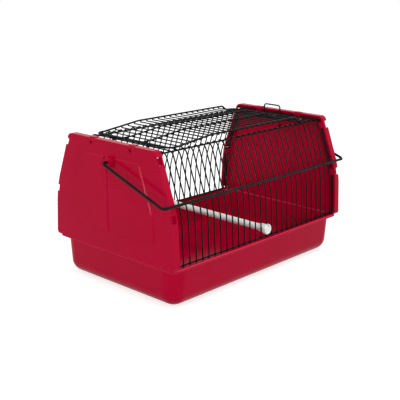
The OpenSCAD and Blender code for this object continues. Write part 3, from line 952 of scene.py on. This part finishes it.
def hoop_channel():
    bm = bmesh.new()
    pull_hoop(bm, END_HOOP_X, END_HOOP_RADIUS + SEAT_GAP, sides=16)
    return bm


print("the wall behind the panel's face is", PANEL_THICK, "mm thick")

# %% [markdown]
# With every tool described, the carving itself is a list that reads like a work plan.

# %% Carve the panel
steps = [("DIFFERENCE", hollow())]
for side in (-1, 1):
    hole_y = side * HOOK_HOLE_Y
    places = [on_edge(point, angle, side) for point, angle in clip_places + [top_place]]
    steps.append(("UNION", field_round_boss(side)))
    steps += [("UNION", clip_block(place)) for place in places]
    steps.append(("UNION", top_bump(hole_y)))
    steps += [("DIFFERENCE", slot(place)) for place in places[:2]]
    steps.append(("DIFFERENCE", hook_hole(hole_y)))
boss_end = HALF_LENGTH + BOSS_LENGTH
steps += [("UNION", pin(BOSS_RADIUS, HALF_LENGTH - INTO, boss_end, 0, PIVOT_Z, sides=40)),
          ("DIFFERENCE", pin(HANDLE_RADIUS + TURN_GAP, inside_x - PAST, boss_end + PAST,
                             0, PIVOT_Z, sides=24)),
          ("DIFFERENCE", hoop_channel())]
plate = solid(whole_outline(PANEL_MARGIN, PANEL_FOOT, PANEL_TOP),
              outline_radii(PANEL_MARGIN, FOOT_CORNER, TOP_CORNER), flange_x, HALF_LENGTH)
panel = carve(plate, steps)
print("carved panel:", len(panel.faces), "faces,",
      sum(1 for e in panel.edges if not e.is_manifold), "open edges")

# %% [markdown]
# Rounded mould edges
#
# Light runs along the edges of a moulding because none of them is truly sharp. Each edge
# that shows from outside is picked by its angle and bevelled, and the new points are marked
# so that a highlight can be painted there, paler than the plastic. Edges deep inside the
# flange keep their corners.

# %% Round the panel's edges
EDGE_ROUND, LEAST_TURN, FACE_BAND = 0.55, 25, 0.1


def sharp_edges(bm, least, keep):
    """Edges that turn by more than an angle, whose ends both pass a test."""
    return [e for e in bm.edges if e.is_manifold and e.calc_face_angle(0) > math.radians(least)
            and all(keep(v.co) for v in e.verts)]


bmesh.ops.remove_doubles(panel, verts=panel.verts, dist=TINY)
bmesh.ops.dissolve_limit(panel, angle_limit=math.radians(1), verts=panel.verts,
                         edges=panel.edges, use_dissolve_boundaries=False,
                         delimit=set())
painted_highlight_layer = panel.verts.layers.float.new("edge")
outside = sharp_edges(panel, LEAST_TURN, lambda co: co.x > HALF_LENGTH - FACE_BAND)
rounded = bmesh.ops.bevel(panel, geom=outside, offset=EDGE_ROUND, segments=3, profile=0.5,
                          affect="EDGES", material=-1, clamp_overlap=True)
# The marks carry the painted highlight along the panel's edges.
mark_edges(rounded, painted_highlight_layer)
left_copy = panel.copy()
finished(panel, "right_panel_moulding", "carrier", crimson,
         ["right_end_panel"], flats=True)
finished(left_copy, "left_panel_moulding", "carrier", crimson,
         ["left_end_panel"], place=MIRROR_X, flats=True)

# %% [markdown]
# The perch
#
# A round rod crosses the carrier under the bird's feet. It has a fine parting line on each
# side, as rods from a two-part mould have: a ridge is made by moving two rows of points out
# a little, which costs no faces.

# %% Perch rod
PERCH_RADIUS, PERCH_X, PERCH_Z = 4, 10, 57
CAP_START, SOCKET_DEPTH = 81.976, 4
PARTING_RIDGE, ROD_END_ROUND = 0.12, 0.6
SHARP_TURN = math.radians(60)
QUARTER_TURN_TO_Y = Matrix.Rotation(math.pi / 2, 4, "X")


def drum(radius, y_low, y_high, sides, turn=0):
    """A bar along Y in the perch's line."""
    bm = bmesh.new()
    place = (Matrix.Translation((PERCH_X, (y_low + y_high) / 2, PERCH_Z))
             @ QUARTER_TURN_TO_Y @ Matrix.Rotation(turn, 4, "Z"))
    bmesh.ops.create_cone(bm, cap_ends=True, segments=sides, radius1=radius, radius2=radius,
                          depth=y_high - y_low, matrix=place)
    return bm


rod_end = CAP_START + SOCKET_DEPTH - SEAT_GAP
bm = drum(PERCH_RADIUS, -rod_end, rod_end, sides=48)
for v in bm.verts:
    if abs(v.co.z - PERCH_Z) < TINY:
        v.co.x += math.copysign(PARTING_RIDGE, v.co.x - PERCH_X)
ends = [e for e in bm.edges if e.calc_face_angle(0) > SHARP_TURN]
bmesh.ops.bevel(bm, geom=ends, offset=ROD_END_ROUND, segments=3, profile=0.5,
                affect="EDGES", material=-1)
finished(bm, "perch_dowel", "carrier", white, ["perch_rod"])

# %% [markdown]
# The perch's caps
#
# A cap on each end of the rod hooks over the bar beside the middle one. It is a round collar
# with an eight-sided disc at its end. The disc has a shallow dish, and a notch from the top
# that shows the bar and hides the rest of it. The disc's corners are rounded before its rim
# is cut and its dish drawn in, and by more than both together, so that no corner folds over.

# %% Perch caps
COLLAR_RADIUS, DISC_RADIUS, DISC_SIDES = 5.3, 6.6, 8
DISC_START, CAP_END = 89.476, 93.976
PERCH_BAR_Y, SLOT_GAP, NOTCH_LOW, NOTCH_HALF = 90.976, 0.15, 3, 1.6
RIM_CHAMFER, CORNER_ROUND, DISH_IN, DISH_SLOPE, DISH_DEEP = 0.9, 1, 0.7, 0.4, 0.5
slot_half = BAR_RADIUS + SLOT_GAP
notch_top = 2 * DISC_RADIUS
lean = (Matrix.Translation((PERCH_X, PERCH_BAR_Y, PERCH_Z))
        @ Matrix.Rotation(LOW_LEAN, 4, "X"))


def in_front(y):
    return y > CAP_END - TINY


def dished_disc():
    """The cap's disc, with round corners, a cut rim and a shallow dish."""
    bm = drum(DISC_RADIUS, DISC_START, CAP_END, DISC_SIDES, turn=math.pi / DISC_SIDES)
    corners = [e for e in bm.edges if abs(e.verts[0].co.y - e.verts[1].co.y) > TINY]
    bmesh.ops.bevel(bm, geom=corners, offset=CORNER_ROUND, segments=2, profile=0.5,
                    affect="EDGES", material=-1)
    front_rim = [e for e in bm.edges if all(in_front(v.co.y) for v in e.verts)]
    bmesh.ops.bevel(bm, geom=front_rim, offset=RIM_CHAMFER, segments=1, profile=0.5,
                    affect="EDGES", material=-1)
    for thickness, depth in ((DISH_IN, 0), (DISH_SLOPE, -DISH_DEEP)):
        face = max((f for f in bm.faces if in_front(f.calc_center_median().y)),
                   key=lambda f: len(f.verts))
        bmesh.ops.inset_region(bm, faces=[face], thickness=thickness, depth=depth,
                               use_even_offset=True)
    return bm


for name, node, place in (("back_cap", "back_perch_cap", Matrix()),
                          ("front_cap", "front_perch_cap", MIRROR_Y)):
    cap = carve(dished_disc(), [
        ("UNION", drum(COLLAR_RADIUS, CAP_START, PERCH_BAR_Y, sides=32)),
        ("DIFFERENCE", drum(PERCH_RADIUS + SEAT_GAP, CAP_START - PAST,
                            CAP_START + SOCKET_DEPTH, sides=32)),
        ("DIFFERENCE", block((-NOTCH_HALF, -slot_half, NOTCH_LOW),
                             (NOTCH_HALF, notch_top, notch_top), lean)),
        ("DIFFERENCE", block((-slot_half, -slot_half, -notch_top),
                             (slot_half, slot_half, NOTCH_LOW + OVERLAP), lean))])
    finished(cap, name, "carrier", white, [node], sharp=30, place=place)

# %% [markdown]
# Sky and floor
#
# The carrier stands on a plain pale floor in a white studio. The background is white because
# the camera and mirror rays see it so, while the light that the sky and the floor send out
# stays weaker. In this way the colours look as they are written, and the floor keeps the
# carrier's shadow.

# %% Sky
SKY_STRENGTH = 0.55


def bright_to_eye(nodes, links):
    """1 for rays from the camera, from a mirror and through glass, and 0 for light."""
    path = nodes.new("ShaderNodeLightPath")
    total = None
    for name in ("Is Camera Ray", "Is Glossy Ray", "Is Transmission Ray"):
        if total is None:
            total = path.outputs[name]
            continue
        add = nodes.new("ShaderNodeMath")
        add.operation, add.use_clamp = "ADD", True
        links.new(total, add.inputs[0])
        links.new(path.outputs[name], add.inputs[1])
        total = add.outputs["Value"]
    return total


world = bpy.data.worlds.new("studio")
world.use_nodes = True
bpy.context.scene.world = world
nodes, links = world.node_tree.nodes, world.node_tree.links
sky = nodes["Background"]
sky.inputs["Color"].default_value = (1, 1, 1, 1)
level = nodes.new("ShaderNodeMapRange")
level.inputs["To Min"].default_value = SKY_STRENGTH
level.inputs["To Max"].default_value = 1
links.new(bright_to_eye(nodes, links), level.inputs["Value"])
links.new(level.outputs["Result"], sky.inputs["Strength"])
print("sky:", SKY_STRENGTH, "for light and 1 for the eye")

# %% [markdown]
# The floor is a sheet of paper, far larger than the carrier, so that its edge never shows.
# It glows a little for the camera only, up to the sky's white.

# %% Floor
FLOOR_SIZE, FLOOR_GLOW = 6, 0.68
PAPER = {"Base Color": (0.6, 0.6, 0.6, 1), "Roughness": 0.9, "Specular IOR Level": 0.1,
         "Emission Color": (1, 1, 1, 1)}
bm = bmesh.new()
bmesh.ops.create_grid(bm, x_segments=1, y_segments=1, size=FLOOR_SIZE / 2)
mesh = bpy.data.meshes.new("floor")
bm.to_mesh(mesh)
bm.free()
floor = bpy.data.objects.new("floor", mesh)
bpy.context.scene.collection.objects.link(floor)
paper = bpy.data.materials.new("pale floor")
paper.use_nodes = True
nodes, links = paper.node_tree.nodes, paper.node_tree.links
shader = nodes["Principled BSDF"]
for key, value in PAPER.items():
    shader.inputs[key].default_value = value
glow = nodes.new("ShaderNodeMath")
glow.operation = "MULTIPLY"
glow.inputs[1].default_value = FLOOR_GLOW
links.new(bright_to_eye(nodes, links), glow.inputs[0])
links.new(glow.outputs["Value"], shader.inputs["Emission Strength"])
mesh.materials.append(paper)
print("floor:", FLOOR_SIZE, "m wide")

# %% [markdown]
# Lamps
#
# Four soft area lamps stand round the carrier. The one on the camera's side models the front
# and the left panel, the one overhead lights the roof and draws the shadow under the tray,
# and two narrow ones at left and right put a line of light on the wires. All are weak enough
# that a colour looks as it is written.

# %% Lamps
def lamp(name, place, aim_height, size, power):
    light = bpy.data.lights.new(name, "AREA")
    light.shape, light.size, light.size_y = "RECTANGLE", size[0], size[1]
    light.energy = power
    made = bpy.data.objects.new(name, light)
    made.location = place
    heading = Vector((0, 0, aim_height)) - Vector(place)
    made.rotation_euler = heading.to_track_quat("-Z", "Y").to_euler()
    bpy.context.scene.collection.objects.link(made)


lamp("camera side lamp", (-1.05, -1.35, 0.5), 0.08, (0.35, 0.35), 8)
lamp("overhead lamp", (-0.15, -0.25, 1.55), 0.1, (0.7, 0.5), 9)
lamp("left lamp", (-1.5, 0.6, 0.5), 0.08, (0.25, 0.5), 4)
lamp("right lamp", (1.3, -1.2, 0.7), 0.08, (0.25, 0.5), 4)
